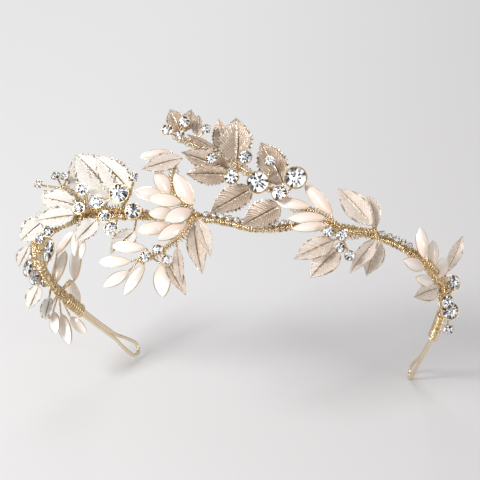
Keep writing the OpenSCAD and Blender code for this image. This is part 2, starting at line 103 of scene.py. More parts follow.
def pickVerts(obj, wanted):
    # selects the corners for which wanted(place) is true
    work = bmesh.from_edit_mesh(obj.data)
    for v in work.verts:
        v.select = bool(wanted(v.co))
    work.select_flush_mode()
    bmesh.update_edit_mesh(obj.data)


def useModifier(obj, kind, **settings):
    pickOnly(obj)
    mod = obj.modifiers.new(kind.lower(), kind)
    for key, value in settings.items():
        setattr(mod, key, value)
    bpy.ops.object.modifier_apply(modifier=mod.name)


def smoothShade(obj, angle=40):
    pickOnly(obj)
    bpy.ops.object.shade_smooth_by_angle(angle=math.radians(angle))


def placedCopy(master, place):
    piece = master.copy()
    piece.data = master.data.copy()
    bpy.context.scene.collection.objects.link(piece)
    piece.data.transform(place)
    return piece


def joinAll(pieces, name):
    bpy.ops.object.select_all(action="DESELECT")
    for piece in pieces:
        piece.select_set(True)
    bpy.context.view_layer.objects.active = pieces[0]
    if len(pieces) > 1:
        bpy.ops.object.join()
    joined = bpy.context.view_layer.objects.active
    joined.name = name
    joined.data.name = name
    return joined


def handIn(piece, body, look, slot, *nodes):
    piece.data.materials.clear()
    piece.data.materials.append(looks[look])
    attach(piece, body)
    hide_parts(*nodes)


def putAway(*masters):
    for master in masters:
        bpy.data.objects.remove(master)


# ---- helpers for wires ----

def smoothLine(points, steps):
    # an even curve through the points
    p = [Vector(q) for q in points]
    p = [p[0] * 2 - p[1]] + p + [p[-1] * 2 - p[-2]]
    line = []
    for i in range(1, len(p) - 2):
        for k in range(steps):
            t = k / steps
            line.append(0.5 * (2 * p[i] + (p[i + 1] - p[i - 1]) * t
                               + (2 * p[i - 1] - 5 * p[i] + 4 * p[i + 1] - p[i + 2]) * t * t
                               + (3 * p[i] - p[i - 1] - 3 * p[i + 1] + p[i + 2]) * t * t * t))
    line.append(p[-2])
    return line


def wires(name, lines, thickness, roundness=1):
    curve = bpy.data.curves.new(name, "CURVE")
    curve.dimensions = "3D"
    curve.bevel_depth = thickness / 2
    curve.bevel_resolution = roundness
    curve.use_fill_caps = True
    for line in lines:
        spline = curve.splines.new("POLY")
        spline.points.add(len(line) - 1)
        for point, q in zip(spline.points, line):
            point.co = (q[0], q[1], q[2], 1)
    obj = bpy.data.objects.new(name, curve)
    bpy.context.scene.collection.objects.link(obj)
    pickOnly(obj)
    bpy.ops.object.convert(target="MESH")
    obj = bpy.context.view_layer.objects.active
    bpy.ops.object.shade_smooth()
    return obj


def coilRound(line, ups, halfOut, halfUp, pitch, perTurn, waver=0.0, seed=1, hand=1):
    # a wire wound round a line, oval in section
    rng = random.Random(seed)
    travelled = [0.0]
    for a, b in zip(line, line[1:]):
        travelled.append(travelled[-1] + (b - a).length)
    count = int(travelled[-1] / pitch * perTurn)
    points, i, shift = [], 0, 0.0
    for k in range(count + 1):
        d = travelled[-1] * k / count
        while i < len(line) - 2 and travelled[i + 1] < d:
            i += 1
        t = (d - travelled[i]) / (travelled[i + 1] - travelled[i])
        centre = line[i].lerp(line[i + 1], t)
        way = (line[min(i + 2, len(line) - 1)] - line[max(i - 1, 0)]).normalized()
        up = ups[i].lerp(ups[i + 1], t)
        up = (up - way * up.dot(way)).normalized()
        out = way.cross(up)
        if k % perTurn == 0:
            shift = rng.uniform(-waver, waver)
        turn = hand * 2 * math.pi * k / perTurn
        points.append(centre + up * (halfUp * (1 + shift)) * math.cos(turn)
                      + out * (halfOut * (1 + shift)) * math.sin(turn))
    return points


# ---- the path of the band ----

bandSet = {"runs": (40, 40, 44, 54), "leftTurns": (6, 61, 42, 15), "rightTurns": (3, 65, 33, 10),
           "reach": 62, "tilt": 50, "dip": 2.5, "dipAt": 13, "dipReach": 18,
           "hairpinReach": 38, "leftBinding": 11, "rightBinding": 20}
bandTilt = math.radians(bandSet["tilt"])
bandUp = Vector((0, math.sin(bandTilt), math.cos(bandTilt)))
halfBand = sum(bandSet["runs"])
bandEnd = halfBand - bandSet["hairpinReach"]


def bandPoint(along, up=0, out=0):
    # place a distance along the band, above it and out from it, all in millimetres
    side = -1 if along < 0 else 1
    turns = bandSet["leftTurns"] if along < 0 else bandSet["rightTurns"]
    x, y, heading, left = 0.0, -float(bandSet["reach"]), 0.0, abs(along)
    for i, run in enumerate(bandSet["runs"]):
        part = left if i == len(bandSet["runs"]) - 1 else min(left, run)
        turn = math.radians(turns[i]) * part / run
        if abs(turn) > 1e-4:  # bent, not straight
            r = part / turn
            x += r * (math.sin(heading + turn) - math.sin(heading))
            y += r * (math.cos(heading) - math.cos(heading + turn))
        else:
            x, y = x + part * math.cos(heading), y + part * math.sin(heading)
        heading, left = heading + turn, left - part
        if left <= 0:
            break
    x, y = side * (x + math.sin(heading) * out), y - math.cos(heading) * out
    return Vector((x, y * math.cos(bandTilt) + up * math.sin(bandTilt),
                   up * math.cos(bandTilt) - y * math.sin(bandTilt))) * mm


def bandDip(along):
    # how far the front of the band sinks at a distance along it
    s = bandSet
    gap = abs(along - s["dipAt"])
    return -s["dip"] * math.cos(math.pi / 2 * gap / s["dipReach"]) ** 2 if gap < s["dipReach"] else 0


def wireLine(start, end, up=0, step=2.0):
    # points along the band, following its dip
    count = max(2, int(abs(end - start) / step))
    spots = [start + (end - start) * k / count for k in range(count + 1)]
    return [bandPoint(a, bandDip(a) + up) for a in spots]


# ---- helpers that read the solids' places ----

frontWay = Vector((0, -0.91, 0.41))  # forward and a little up, the way the sprays face
readSet = {"weld": 2e-6,     # corners closer than this are one, in metres
           "end": 0.04,      # share of a length that counts as its end
           "outward": 0.4,   # how far a face turns outward from the front
           "round": 1.1,     # a stone no longer than this many widths is round
           "girdle": 0.714}  # share of a stone's depth from its point to its girdle


def solidsOf(nodeName):
    # the corner points of each separate solid of a node, from a merged copy of its mesh
    work = bmesh.new()
    work.from_mesh(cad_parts[nodeName].data)
    bmesh.ops.remove_doubles(work, verts=work.verts, dist=readSet["weld"])
    work.verts.ensure_lookup_table()
    seen, groups = set(), []
    for first in work.verts:
        if first.index in seen:
            continue
        seen.add(first.index)
        queue, group = [first], []
        while queue:
            v = queue.pop()
            group.append(tuple(v.co))
            for edge in v.link_edges:
                other = edge.other_vert(v)
                if other.index not in seen:
                    seen.add(other.index)
                    queue.append(other)
        groups.append(np.array(group))
    work.free()
    return sorted(groups, key=lambda g: tuple(g.mean(0)))


def faceWay(place):
    out = Vector(place) - bandUp * Vector(place).dot(bandUp)
    return (out.normalized() * readSet["outward"] + frontWay).normalized()


def placeFrom(columns, spot):
    # a placing matrix from its three scaled directions and its origin
    place = Matrix.Identity(4)
    for k, column in enumerate(columns):
        for row in range(3):
            place[row][k] = column[row]
    place.translation = spot
    return place


def bladePlace(points, stemPoints=None):
    # base, length, width and directions of a leaf or petal
    gaps = ((points[:, None] - points[None]) ** 2).sum(2)
    i, j = np.unravel_index(gaps.argmax(), gaps.shape)
    way = points[j] - points[i]
    length = np.linalg.norm(way)
    way = way / length
    t = (points - points[i]) @ way
    near = readSet["end"] * length
    first, last = points[t < t.min() + near], points[t > t.max() - near]
    if stemPoints is None:
        turned = np.ptp(first, axis=0).sum() < np.ptp(last, axis=0).sum()
    else:
        toFirst = np.linalg.norm(stemPoints - first.mean(0), axis=1).min()
        toLast = np.linalg.norm(stemPoints - last.mean(0), axis=1).min()
        turned = toLast < toFirst
    if turned:
        first, last = last, first
    base, tip = first.mean(0), last.mean(0)
    way = (tip - base) / np.linalg.norm(tip - base)
    flat = points - points.mean(0)
    flat = flat - np.outer(flat @ way, way)
    across = np.linalg.svd(flat)[2][0]
    face = np.cross(across, way)
    if face @ np.array(faceWay(points.mean(0))) < 0:
        across, face = -across, -face
    width = np.ptp(points @ across)
    return {"base": Vector(base), "way": Vector(way), "across": Vector(across), "face": Vector(face),
            "length": float(np.linalg.norm(tip - base)), "width": float(width)}


def bladeMatrix(p, lift=0.0):
    # turns a piece one unit long and one unit wide into its place
    columns = (p["across"] * p["width"], p["way"] * p["length"], p["face"] * p["length"])
    return placeFrom(columns, p["base"] + p["face"] * lift)


def stonePlace(points):
    # centre of the girdle, facing and size of a cut stone
    centre = points.mean(0)
    spread = np.linalg.svd(points - centre)[2]
    options = []
    for axis in spread:
        side = (points - centre) @ axis
        options.append((np.ptp(side), axis))
    depth, axis = min(options, key=lambda o: o[0])
    side = points @ axis
    culet = points[side.argmin()], points[side.argmax()]
    lone = [(np.abs(side - c @ axis) < readSet["end"] * depth).sum() for c in culet]
    if lone[0] > lone[1]:
        axis, culet = -axis, (culet[1], culet[0])
    axis = Vector(axis)
    foot = Vector(culet[0])
    flat = points - np.outer(points @ np.array(axis), np.array(axis))
    long = np.linalg.svd(flat - flat.mean(0))[2][0]
    if long[2] < 0:
        long = -long
    wide = np.cross(np.array(axis), long)
    length, width = float(np.ptp(points @ long)), float(np.ptp(points @ wide))
    if length < width * readSet["round"]:
        level = Vector((0, 0, 1)) - axis * axis.z
        long, wide = level.normalized(), axis.cross(level.normalized())
        length = width = (length + width) / 2
    return {"foot": foot, "centre": foot + axis * depth * readSet["girdle"], "axis": axis,
            "long": Vector(long), "wide": Vector(wide), "length": length, "width": width}


def stoneMatrix(p, turn=0.0):
    # turns a stone one unit wide into its place
    columns = (p["wide"] * p["width"], p["long"] * p["length"], p["axis"] * p["width"])
    return placeFrom(columns, p["centre"]) @ Matrix.Rotation(turn, 4, "Z")


# each spray's slot and look for its leaves, its petals, and its stem's route along the band;
# larger is how much its petals and stones grow over the plain solids
sprays = {
    "left_side": {"leaf": "white_leaf", "finish": "white_leaf", "petal": "ivory_petal", "larger": 1.3,
                  "route": [(-126, 1, 2.2), (-120, 2, 2.2), (-112, 2, 2.2), (-104, 2, 2.2),
                            (-94, 2, 2.2), (-84, 2, 2.2), (-72, 1, 2.5)]},
    "left_temple": {"leaf": "white_leaf", "finish": "white_leaf", "petal": "ivory_petal",
                    "route": [(-26, -1, 3), (-31, 0, 3), (-37, 1, 3), (-44, 1, 3), (-51, 2, 3),
                              (-57, 8, 3), (-63, 13, 3.5)]},
    "blush_flower": {"leaf": "champagne_leaf", "finish": "pale_leaf", "petal": "blush_petal",
                     "route": [(-10, 0, 3), (-14, 3, 3), (-18, 7, 3), (-20, 13, 3), (-20, 19, 3)]},
    "drop_spray": {"leaf": "champagne_leaf", "finish": "pale_leaf", "petal": "ivory_petal",
                   "route": [(-10, -2, 4), (-12, -8, 4), (-15, -12, 4), (-19, -16, 4),
                             (-23, -19, 4), (-27, -20, 4)]},
    "tall_spray": {"leaf": "champagne_leaf", "finish": "champagne_leaf", "petal": None,
                   "route": [(42, -1, 3), (33, 4, 3), (26, 5, 3), (21, 9, 3), (14, 13, 3),
                             (4, 20, 3), (-6, 25, 3), (-16, 29, 3), (-22, 32, 3)]},
    "right_spray": {"leaf": "champagne_leaf", "finish": "pale_leaf", "petal": "blush_petal",
                    "route": [(54, 0, 3), (48, -3, 3.5), (43, -5, 3.5), (39, -2, 3)]},
    "right_side": {"leaf": "champagne_leaf", "finish": "pale_leaf", "petal": "blush_petal", "larger": 1.18,
                   "route": [(116, -4, 3), (104, -3, 3), (94, -1, 3), (84, -2, 3), (76, -2, 3)]}}

for name, spray in sprays.items():
    stemPoints = np.array([tuple(bandPoint(*q)) for q in spray["route"]])
    spray["hubs"] = [Vector(q) for q in stemPoints]
    fine = np.array([tuple(q) for q in smoothLine(spray["hubs"], 4)])
    spray["leaves"] = [bladePlace(g) for g in solidsOf(name + "_leaves")]
    spray["petals"] = ([bladePlace(g, fine) for g in solidsOf(name + "_petals")]
                       if spray["petal"] else [])
    spray["stones"] = ([stonePlace(g) for g in solidsOf(name + "_stones")]
                       if name + "_stones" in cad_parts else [])
    for p in spray["petals"] + spray["stones"]:
        p["width"] *= spray.get("larger", 1)
        p["length"] *= spray.get("larger", 1)
chainStones = [stonePlace(g) for g in solidsOf("chain_stones")]
print("places read")


# ---- materials ----

def node(tree, kind, spot=(0, 0), **settings):
    made = tree.nodes.new(kind)
    made.location = spot
    for key, value in settings.items():
        setattr(made, key, value)
    return made


def newGroup(name, inputs, outputs):
    group = bpy.data.node_groups.new(name, "ShaderNodeTree")
    for label, kind in inputs:
        group.interface.new_socket(label, in_out="INPUT", socket_type=kind)
    for label, kind in outputs:
        group.interface.new_socket(label, in_out="OUTPUT", socket_type=kind)
    return group, node(group, "NodeGroupInput", (-900, 0)), node(group, "NodeGroupOutput", (900, 0))


def ramp(tree, spot, stops):
    made = node(tree, "ShaderNodeValToRGB", spot)
    made.color_ramp.elements[0].position, made.color_ramp.elements[0].color = stops[0][0], stops[0][1]
    made.color_ramp.elements[1].position, made.color_ramp.elements[1].color = stops[-1][0], stops[-1][1]
    for position, colour in stops[1:-1]:
        made.color_ramp.elements.new(position).color = colour
    return made


def mathNode(tree, spot, operation, a, b=None):
    made = node(tree, "ShaderNodeMath", spot, operation=operation)
    for k, value in enumerate((a, b)):
        if isinstance(value, (int, float)):
            made.inputs[k].default_value = value
        elif value is not None:
            tree.links.new(value, made.inputs[k])
    return made.outputs[0]


def mixColour(tree, spot, factor, a, b):
    made = node(tree, "ShaderNodeMix", spot, data_type="RGBA")
    for socket, value in ((made.inputs[0], factor), (made.inputs[6], a), (made.inputs[7], b)):
        if isinstance(value, (int, float, tuple)):
            socket.default_value = value
        else:
            tree.links.new(value, socket)
    return made.outputs[2]


def step(tree, spot, value, low, high):
    # fades from nothing at the low value to full at the high one
    made = node(tree, "ShaderNodeMapRange", spot, interpolation_type="SMOOTHSTEP")
    made.inputs["From Min"].default_value = low
    made.inputs["From Max"].default_value = high
    tree.links.new(value, made.inputs["Value"])
    return made.outputs["Result"]


def stripe(tree, spot, value, often, low, high):
    # repeated lines across a value
    wave = mathNode(tree, (spot[0] - 200, spot[1]), "SINE",
                    mathNode(tree, (spot[0] - 300, spot[1]), "MULTIPLY", value, often))
    return step(tree, spot, wave, low, high)


def speckle(tree, spot, coords, scale, detail):
    # soft spots fixed to the piece
    made = node(tree, "ShaderNodeTexNoise", spot)
    made.inputs["Scale"].default_value = scale
    made.inputs["Detail"].default_value = detail
    tree.links.new(coords.outputs["Object"], made.inputs["Vector"])
    return made.outputs["Fac"]


metalSet = {"broadDetail": 2, "fineDetail": 3, "toneLow": 0.32, "toneHigh": 0.6,
            "roughLow": 0.1, "roughHigh": 0.32}


def metalGroup(s):
    # random blotches of a darker tone, with shifts of polish and dents, of a drawn or cast metal
    g, gin, gout = newGroup("metalBlotches", [("Tint", "NodeSocketColor"), ("Dark", "NodeSocketColor"),
                                          ("Patch", "NodeSocketFloat"), ("Scale", "NodeSocketFloat")],
                            [("Color", "NodeSocketColor"), ("Roughness", "NodeSocketFloat"),
                             ("Height", "NodeSocketFloat")])
    coords = node(g, "ShaderNodeTexCoord", (-900, -300))
    broad = node(g, "ShaderNodeTexNoise", (-600, 200))
    broad.inputs["Detail"].default_value = s["broadDetail"]
    fine = node(g, "ShaderNodeTexNoise", (-600, -200))
    fine.inputs["Detail"].default_value = s["fineDetail"]
    g.links.new(coords.outputs["Object"], broad.inputs["Vector"])
    g.links.new(coords.outputs["Object"], fine.inputs["Vector"])
    g.links.new(gin.outputs["Patch"], broad.inputs["Scale"])
    g.links.new(gin.outputs["Scale"], fine.inputs["Scale"])
    tone = node(g, "ShaderNodeMapRange", (-300, 200))
    tone.inputs["From Min"].default_value = s["toneLow"]
    tone.inputs["From Max"].default_value = s["toneHigh"]
    g.links.new(broad.outputs["Fac"], tone.inputs["Value"])
    colour = mixColour(g, (0, 200), tone.outputs["Result"], gin.outputs["Dark"], gin.outputs["Tint"])
    rough = node(g, "ShaderNodeMapRange", (0, -100))
    rough.inputs["To Min"].default_value = s["roughLow"]
    rough.inputs["To Max"].default_value = s["roughHigh"]
    g.links.new(fine.outputs["Fac"], rough.inputs["Value"])
    g.links.new(colour, gout.inputs["Color"])
    g.links.new(rough.outputs["Result"], gout.inputs["Roughness"])
    g.links.new(fine.outputs["Fac"], gout.inputs["Height"])
    return g


# some of these place painted shade toward the midrib and next to it, and a painted highlight along it
veinSet = {"sweep": 0.3, "wobble": 0.04, "grain": 700, "grooves": 95.0, "fineGrooves": 230.0,
           "groovePart": 0.9, "finePart": 0.55, "patches": 170, "plain": 0.55, "midribShadeDepth": 0.55,
           "ribShadeFrom": 0.51, "ribShadeTo": 0.6, "fleckSize": 620, "fleckFrom": 0.8, "rimFrom": 0.9,
           "midrib": 0.09, "goldRimAndLitRibStrength": 0.85, "rough": 0.18, "roughSpread": 0.22, "cutPart": 0.6,
           "fineCutPart": 0.4}


def leafGroup(s):
    # satin metal between stamped side veins, painted shade toward the midrib and a line of painted shade
    # next to it, a painted highlight along the midrib, a gold rim and dark flecks at the rim
    g, gin, gout = newGroup("veinedLeaf", [("Satin", "NodeSocketColor"), ("GrooveAndShade", "NodeSocketColor"),
                                           ("Line", "NodeSocketColor"), ("Rim", "NodeSocketColor"),
                                           ("Shine", "NodeSocketFloat")],
                            [("Color", "NodeSocketColor"), ("Metallic", "NodeSocketFloat"),
                             ("Roughness", "NodeSocketFloat"), ("Height", "NodeSocketFloat")])
    coords = node(g, "ShaderNodeTexCoord", (-1700, 0))
    split = node(g, "ShaderNodeSeparateXYZ", (-1500, 0))
    g.links.new(coords.outputs["UV"], split.inputs["Vector"])
    x, y = split.outputs["X"], split.outputs["Y"]
    # side is nothing at the midrib and one at the rim
    doubled = mathNode(g, (-1400, 100), "MULTIPLY", x, 2.0)
    side = mathNode(g, (-1200, 100), "ABSOLUTE", mathNode(g, (-1300, 100), "SUBTRACT", doubled, 1.0))
    # side veins sweep forward from the midrib
    sweep = mathNode(g, (-1000, -100), "SUBTRACT", y,
                     mathNode(g, (-1100, -100), "MULTIPLY", side, s["sweep"]))
    grain = speckle(g, (-1300, -350), coords, s["grain"], 3)
    wobble = mathNode(g, (-1000, -300), "MULTIPLY", grain, s["wobble"])
    shifted = mathNode(g, (-900, -100), "ADD", sweep, wobble)
    groove = stripe(g, (-500, -100), shifted, s["grooves"], 0.0, 0.85)
    fineGroove = stripe(g, (-500, -300), shifted, s["fineGrooves"], -0.2, 1.0)
    patch = step(g, (-700, 500), speckle(g, (-900, 500), coords, s["patches"], 2), 0.42, 0.62)
    lines = mathNode(g, (-200, -200), "MAXIMUM",
                     mathNode(g, (-350, -100), "MULTIPLY", groove, s["groovePart"]),
                     mathNode(g, (-350, -300), "MULTIPLY", fineGroove, s["finePart"]))
    uneven = mathNode(g, (-200, 0), "ADD", s["plain"],
                      mathNode(g, (-350, 0), "MULTIPLY", patch, 1 - s["plain"]))
    # the midrib is painted bright as a lit raised rib, with one line of painted shade next to it, and
    # painted shade darkens the blade toward it
    ribShade = mathNode(g, (-400, 700), "MULTIPLY",
                      step(g, (-500, 700), x, s["ribShadeFrom"], s["ribShadeFrom"] + 0.025),
                      step(g, (-500, 600), x, s["ribShadeTo"], s["ribShadeTo"] - 0.035))
    # painted shade, darkening the blade toward the midrib
    midribShade = mathNode(g, (-400, 250), "MULTIPLY", step(g, (-500, 250), side, 0.75, 0.05), s["midribShadeDepth"])
    veined = mathNode(g, (-150, -100), "MAXIMUM",
                      mathNode(g, (-200, -200), "MULTIPLY", lines, uneven), midribShade)
    satin = mixColour(g, (-50, 100), veined, gin.outputs["Satin"], gin.outputs["GrooveAndShade"])
    spots = step(g, (-500, 1050), speckle(g, (-700, 1050), coords, s["fleckSize"], 2), 0.49, 0.55)
    flecks = mathNode(g, (-300, 900), "MULTIPLY",
                      step(g, (-500, 900), side, s["fleckFrom"], s["fleckFrom"] + 0.1), spots)
    # the line of painted shade next to the midrib, and the dark flecks at the rim
    dark = mathNode(g, (-100, 700), "MAXIMUM", ribShade, flecks)
    lined = mixColour(g, (150, 200), dark, satin, gin.outputs["Line"])
    # the gold rim, and a painted highlight along the midrib
    goldRimAndLitRib = mathNode(g, (0, 450), "MAXIMUM", step(g, (-200, 450), side, s["rimFrom"], s["rimFrom"] + 0.08),
                    step(g, (-200, 600), side, s["midrib"], s["midrib"] - 0.05))
    goldRimAndLitRibShare = mathNode(g, (150, 450), "MULTIPLY", goldRimAndLitRib, s["goldRimAndLitRibStrength"])
    colour = mixColour(g, (350, 200), goldRimAndLitRibShare, lined, gin.outputs["Rim"])
    metal = mathNode(g, (350, 0), "MAXIMUM", gin.outputs["Shine"],
                     mathNode(g, (200, 0), "MAXIMUM", goldRimAndLitRib, dark))
    rough = mathNode(g, (350, -200), "ADD", s["rough"],
                     mathNode(g, (200, -200), "MULTIPLY", grain, s["roughSpread"]))
    cut = mathNode(g, (200, -400), "ADD", mathNode(g, (50, -400), "MULTIPLY", groove, s["cutPart"]),
                   mathNode(g, (50, -500), "MULTIPLY", fineGroove, s["fineCutPart"]))
    height = mathNode(g, (350, -400), "SUBTRACT", 1.0, cut)
    g.links.new(colour, gout.inputs["Color"])
    g.links.new(metal, gout.inputs["Metallic"])
    g.links.new(rough, gout.inputs["Roughness"])
    g.links.new(height, gout.inputs["Height"])
    return g


pearlSet = {"clouds": 240, "drift": 0.5, "tipFrom": -0.05, "tipTo": 0.7,
            "shadeFrom": 0.35, "shadeTo": 0.75, "shade": 0.45, "rough": 0.14, "roughSpread": 0.16}


def pearlGroup(s):
    # pearly enamel, deeper toward the base of the petal and down its shaded half
    g, gin, gout = newGroup("pearlPetal", [("Tip", "NodeSocketColor"), ("Base", "NodeSocketColor")],
                            [("Color", "NodeSocketColor"), ("Roughness", "NodeSocketFloat"),
                             ("Height", "NodeSocketFloat")])
    coords = node(g, "ShaderNodeTexCoord", (-900, -200))
    split = node(g, "ShaderNodeSeparateXYZ", (-700, 0))
    g.links.new(coords.outputs["UV"], split.inputs["Vector"])
    cloud = speckle(g, (-700, -300), coords, s["clouds"], 2)
    drift = mathNode(g, (-500, -100), "MULTIPLY",
                     mathNode(g, (-600, -100), "SUBTRACT", cloud, 0.5), s["drift"])
    along = step(g, (-200, 0), mathNode(g, (-400, 0), "ADD", split.outputs["Y"], drift),
                 s["tipFrom"], s["tipTo"])
    half = step(g, (-200, -200), mathNode(g, (-400, -200), "ADD", split.outputs["X"], drift),
                s["shadeFrom"], s["shadeTo"])
    lit = mathNode(g, (-150, -100), "SUBTRACT", 1.0,
                   mathNode(g, (-150, -200), "MULTIPLY", half, s["shade"]))
    fade = mathNode(g, (-100, 0), "MULTIPLY", along, lit)
    colour = mixColour(g, (0, 0), fade, gin.outputs["Base"], gin.outputs["Tip"])
    rough = mathNode(g, (0, -250), "ADD", s["rough"],
                     mathNode(g, (-100, -250), "MULTIPLY", cloud, s["roughSpread"]))
    g.links.new(colour, gout.inputs["Color"])
    g.links.new(rough, gout.inputs["Roughness"])
    g.links.new(cloud, gout.inputs["Height"])
    return g


# the painted reflections of the facets from dark to bright, the last of them a painted flash of colour
cutSet = {"facets": [(0.0, (0.008, 0.008, 0.01, 1)), (0.3, (0.05, 0.052, 0.058, 1)),
                     (0.42, (0.20, 0.205, 0.22, 1)), (0.54, (0.50, 0.51, 0.54, 1)),
                     (0.66, (0.85, 0.86, 0.88, 1)), (0.8, (1, 1, 1, 1)), (0.985, (0.42, 0.78, 0.86, 1))],
          "glowFrom": 0.5, "glowTo": 0.9, "rough": 0.02, "roughSpread": 0.05}


def stoneGroup(s):
    # each facet gets a painted reflection of its own, and the brighter ones a painted glow, a few of them
    # split into colour
    g, gin, gout = newGroup("cutGlass", [],
                            [("Color", "NodeSocketColor"), ("Roughness", "NodeSocketFloat"),
                             ("Glow", "NodeSocketColor")])
    glint = node(g, "ShaderNodeAttribute", (-700, 0), attribute_name="glint").outputs["Fac"]
    look = ramp(g, (-400, 100), s["facets"])
    look.color_ramp.interpolation = "CONSTANT"
    g.links.new(glint, look.inputs["Fac"])
    glow = mixColour(g, (0, -100), step(g, (-200, -100), glint, s["glowFrom"], s["glowTo"]), (0, 0, 0, 1),
                     look.outputs["Color"])
    rough = mathNode(g, (-300, -300), "ADD", s["rough"],
                     mathNode(g, (-400, -300), "MULTIPLY", glint, s["roughSpread"]))
    g.links.new(look.outputs["Color"], gout.inputs["Color"])
    g.links.new(rough, gout.inputs["Roughness"])
    g.links.new(glow, gout.inputs["Glow"])
    return g


metalBlotches, veinedLeaf = metalGroup(metalSet), leafGroup(veinSet)
pearlPetal, cutGlass = pearlGroup(pearlSet), stoneGroup(cutSet)


def startMaterial(name, group):
    made = bpy.data.materials.new(name)
    made.use_nodes = True
    tree = made.node_tree
    shader = tree.nodes["Principled BSDF"]
    look = node(tree, "ShaderNodeGroup", (-400, 0), node_tree=group)
    for label in ("Roughness", "Metallic"):
        if label in look.outputs:
            tree.links.new(look.outputs[label], shader.inputs[label])
    tree.links.new(look.outputs["Color"], shader.inputs["Base Color"])
    return made, tree, shader, look


def addBump(tree, shader, look, strength, distance):
    bump = node(tree, "ShaderNodeBump", (-200, -300))
    bump.inputs["Strength"].default_value = strength
    bump.inputs["Distance"].default_value = distance
    tree.links.new(look.outputs["Height"], bump.inputs["Height"])
    tree.links.new(bump.outputs["Normal"], shader.inputs["Normal"])


def metalMaterial(name, tint, dark, patch, scale, bump, metallic=1.0):
    made, tree, shader, look = startMaterial(name, metalBlotches)
    look.inputs["Tint"].default_value = (*tint, 1)
    look.inputs["Dark"].default_value = (*dark, 1)
    look.inputs["Patch"].default_value = patch
    look.inputs["Scale"].default_value = scale
    shader.inputs["Metallic"].default_value = metallic
    addBump(tree, shader, look, bump, 0.0002)
    return made


def leafMaterial(name, satin, groove, line, rim, shine, bump):
    made, tree, shader, look = startMaterial(name, veinedLeaf)
    # the groove colour also paints the shade toward the midrib, the line colour the shade next to it, and
    # the rim colour the highlight along it
    for label, colour in (("Satin", satin), ("GrooveAndShade", groove), ("Line", line), ("Rim", rim)):
        look.inputs[label].default_value = (*colour, 1)
    look.inputs["Shine"].default_value = shine
    shader.inputs["Coat Weight"].default_value = 0.35
    shader.inputs["Coat Roughness"].default_value = 0.14
    addBump(tree, shader, look, bump, 0.0003)
    return made


def petalMaterial(name, tip, base):
    made, tree, shader, look = startMaterial(name, pearlPetal)
    look.inputs["Tip"].default_value = (*tip, 1)
    look.inputs["Base"].default_value = (*base, 1)
    shader.inputs["Coat Weight"].default_value = 0.6
    shader.inputs["Coat Roughness"].default_value = 0.08
    shader.inputs["Sheen Weight"].default_value = 0.15
    addBump(tree, shader, look, 0.15, 0.0002)
    return made


def stoneMaterial(name):
    made, tree, shader, look = startMaterial(name, cutGlass)
    shader.inputs["IOR"].default_value = 1.75
    shader.inputs["Coat Weight"].default_value = 0.3
    shader.inputs["Coat Roughness"].default_value = 0.02
    # the brighter facets glow: painted glints
    tree.links.new(look.outputs["Glow"], shader.inputs["Emission Color"])
    shader.inputs["Emission Strength"].default_value = 0.22
    return made


looks = {
    "gold_wire": metalMaterial("goldWire", tint=(1.0, 0.85, 0.58), dark=(0.56, 0.37, 0.18),
                               patch=780, scale=1400, bump=0.3),
    "binding_wire": metalMaterial("bindingWire", tint=(0.95, 0.80, 0.56), dark=(0.72, 0.52, 0.29),
                                  patch=220, scale=900, bump=0.12),
    "champagne_wire": metalMaterial("champagneWire", tint=(0.90, 0.76, 0.56), dark=(0.84, 0.68, 0.47),
                                    patch=260, scale=120, bump=0.02, metallic=0.9),
    "gold_stem": metalMaterial("goldStem", tint=(1.0, 0.83, 0.55), dark=(0.56, 0.36, 0.17),
                               patch=780, scale=1400, bump=0.3),
    "gold_back": metalMaterial("goldBack", tint=(0.96, 0.80, 0.56), dark=(0.74, 0.53, 0.30),
                               patch=400, scale=900, bump=0.2),
    "gold_setting": metalMaterial("goldSetting", tint=(0.86, 0.65, 0.38), dark=(0.46, 0.30, 0.14),
                                  patch=600, scale=900, bump=0.15),
    "crystal": stoneMaterial("crystal"),
    "ivory_petal": petalMaterial("ivoryPetal", tip=(0.95, 0.925, 0.90), base=(0.92, 0.79, 0.69)),
    "blush_petal": petalMaterial("blushPetal", tip=(0.94, 0.87, 0.82), base=(0.87, 0.68, 0.56)),
    # in the leaf looks, groove also colours the painted shade toward the midrib, line the painted shade
    # next to it, and rim the gold rim and the painted highlight along the midrib
    "white_leaf": leafMaterial("whiteLeaf", satin=(1.0, 0.99, 0.97), groove=(0.86, 0.78, 0.68),
                               line=(0.14, 0.09, 0.05), rim=(1.0, 0.93, 0.80), shine=0.05, bump=0.45),
    "pale_leaf": leafMaterial("paleLeaf", satin=(0.98, 0.90, 0.83), groove=(0.74, 0.59, 0.48),
                              line=(0.36, 0.24, 0.14), rim=(1.0, 0.91, 0.76), shine=0.2, bump=0.6),
    "champagne_leaf": leafMaterial("champagneLeaf", satin=(0.98, 0.84, 0.71), groove=(0.34, 0.21, 0.12),
                                   line=(0.14, 0.08, 0.04), rim=(1.0, 0.94, 0.82), shine=0.5, bump=0.65)}
print("materials made")


# ---- leaves ----

leafSet = {"columns": 10, "rows": 24, "fold": 0.15, "bow": 0.07, "teeth": 0.12, "notch": 0.6,
           "thickness": 0.016, "fullest": 0.82, "baseRound": 0.55, "tipRound": 1.0, "wide": 1.12,
           "least": 0.03}
plainLeafSet = {**leafSet, "fold": 0.12, "bow": 0.1, "teeth": 0.0, "fullest": 0.9, "baseRound": 0.8,
                "wide": 1.0}


def startBlade(s, name):
    # a flat sheet one unit square, its base at the origin, left open for editing
    bpy.ops.mesh.primitive_grid_add(x_subdivisions=s["columns"], y_subdivisions=s["rows"], size=1,
                                    calc_uvs=True, location=(0, 0, 0))
    blade = bpy.context.active_object
    blade.name = name
    openEdit(blade)
    bpy.ops.mesh.select_all(action="SELECT")
    bpy.ops.transform.translate(value=(0, 0.5, 0))
    return blade


def leafHalf(s, t):
    # round at the base and pointed at the tip
    if not 0 < t < 1:
        return s["least"]
    power = s["baseRound"] + (s["tipRound"] - s["baseRound"]) * t
    return max(s["least"], math.sin(math.pi * t ** s["fullest"]) ** power)


